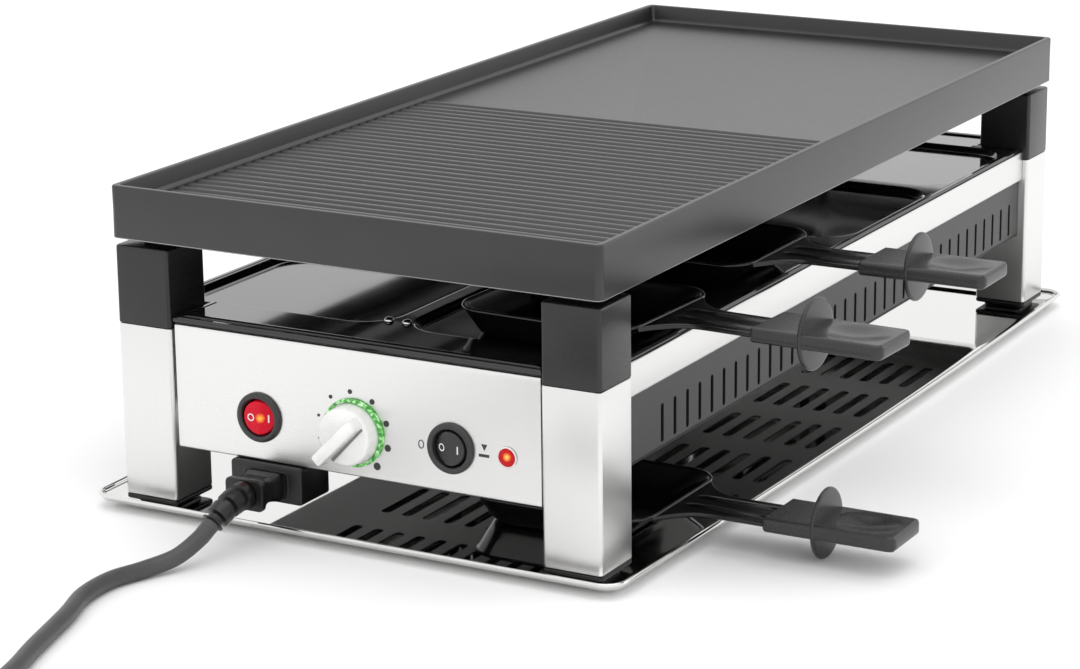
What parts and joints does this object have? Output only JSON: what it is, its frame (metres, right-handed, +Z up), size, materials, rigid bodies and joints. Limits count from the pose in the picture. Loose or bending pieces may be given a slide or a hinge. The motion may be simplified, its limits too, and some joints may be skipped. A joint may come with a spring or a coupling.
{
  "type": "raclette grill",
  "caption": "Long table raclette grill: griddle plate on four legs over a pan shelf and drip tray, with pull-out pans, dial, switches and mains cord",
  "frame": {"origin": "on the table, at the middle of the grill's box without its cord", "axes": "+Z up; -Y toward the control panel; +Y along the grill's length; +X toward the side on which the pans are"},
  "size_m": [0.3926, 0.9593, 0.1621],
  "materials": {
    "polished_steel": "polished stainless sheet",
    "brushed_steel": "brushed stainless sheet, grain along each piece",
    "black_enamel": "glossy black non-stick enamel",
    "dark_sheet": "dark grey satin coated sheet",
    "griddle_coating": "cast aluminium with a dark grey satin non-stick coating",
    "pan_coating": "black non-stick coating",
    "black_plastic": "satin black heat-resistant plastic",
    "handle_plastic": "fine-textured dark grey bakelite",
    "black_rubber": "matt black rubber",
    "white_plastic": "white glossy plastic",
    "green_light": "translucent lit green ring",
    "red_light": "translucent lit red plastic",
    "ceramic": "matt white ceramic",
    "heater_steel": "heat-darkened steel",
    "brass": "turned brass"
  },
  "bodies": {
    "base": {"drip_tray": "polished_steel", "shelf_screw_left": "polished_steel", "shelf_screw_right": "polished_steel", "rubber_foot_front_left": "black_rubber", "rubber_foot_front_right": "black_rubber", "rubber_foot_rear_left": "black_rubber", "rubber_foot_rear_right": "black_rubber", "leg_foot_front_left": "black_plastic", "leg_foot_front_right": "black_plastic", "leg_foot_rear_left": "black_plastic", "leg_foot_rear_right": "black_plastic", "leg_cap_front_left": "black_plastic", "leg_cap_front_right": "black_plastic", "leg_cap_rear_left": "black_plastic", "leg_cap_rear_right": "black_plastic", "power_switch": "black_plastic", "mode_switch": "black_plastic", "inlet_housing": "black_plastic", "inlet_socket": "black_plastic", "leg_sleeve_front_left": "brushed_steel", "leg_sleeve_front_right": "brushed_steel", "leg_sleeve_rear_left": "brushed_steel", "leg_sleeve_rear_right": "brushed_steel", "front_panel": "brushed_steel", "rear_panel": "brushed_steel", "side_rail_left": "brushed_steel", "side_rail_right": "brushed_steel", "side_grille_left": "dark_sheet", "side_grille_right": "dark_sheet", "base_plate": "dark_sheet", "pan_shelf": "black_enamel", "heating_element": "heater_steel", "element_bracket_front": "heater_steel", "element_bracket_rear": "heater_steel", "terminal_block": "ceramic", "thermostat": "ceramic", "knob_ring": "green_light", "indicator_lamp": "red_light"},
    "griddle": {"griddle": "griddle_coating"},
    "pan_front": {"pan_front": "pan_coating", "pan_handle_front": "handle_plastic"},
    "pan_middle": {"pan_middle": "pan_coating", "pan_handle_middle": "handle_plastic"},
    "pan_parked": {"pan_parked": "pan_coating", "pan_handle_parked": "handle_plastic"},
    "knob": {"control_knob": "white_plastic", "knob_spindle": "brass"},
    "power_rocker": {"power_rocker": "red_light"},
    "mode_rocker": {"mode_rocker": "black_plastic"},
    "cord": {"power_connector": "black_plastic", "strain_relief": "black_rubber", "power_cord": "black_rubber", "cord_coil": "black_rubber", "mains_plug": "black_plastic"}
  },
  "joints": [
    {"name": "griddle_lift", "type": "slide", "parent": "base", "child": "griddle", "axis": [0, 0, 1], "range_m": [0, 0.08]},
    {"name": "pan_front_slide", "type": "slide", "parent": "base", "child": "pan_front", "axis": [0.9763, 0, 0.2164], "range_m": [0, 0.12]},
    {"name": "pan_middle_slide", "type": "slide", "parent": "base", "child": "pan_middle", "axis": [0.9763, 0, 0.2164], "range_m": [0, 0.12]},
    {"name": "pan_parked_slide", "type": "slide", "parent": "base", "child": "pan_parked", "axis": [0.9763, 0, 0.2164], "range_m": [0, 0.13]},
    {"name": "knob_turn", "type": "hinge", "parent": "base", "child": "knob", "pos_m": [-0.0449, -0.27525, 0.057], "axis": [0, 1, 0], "range_deg": [0, 270]},
    {"name": "power_rocker_tilt", "type": "hinge", "parent": "base", "child": "power_rocker", "pos_m": [-0.0975, -0.27385, 0.057], "axis": [0, 0, 1], "range_deg": [-18, 0]},
    {"name": "mode_rocker_tilt", "type": "hinge", "parent": "base", "child": "mode_rocker", "pos_m": [0.0077, -0.27385, 0.057], "axis": [0, 0, 1], "range_deg": [0, 18]},
    {"name": "cord_unplug", "type": "slide", "parent": "base", "child": "cord", "axis": [0, -1, 0], "range_m": [0, 0.03]}
  ]
}
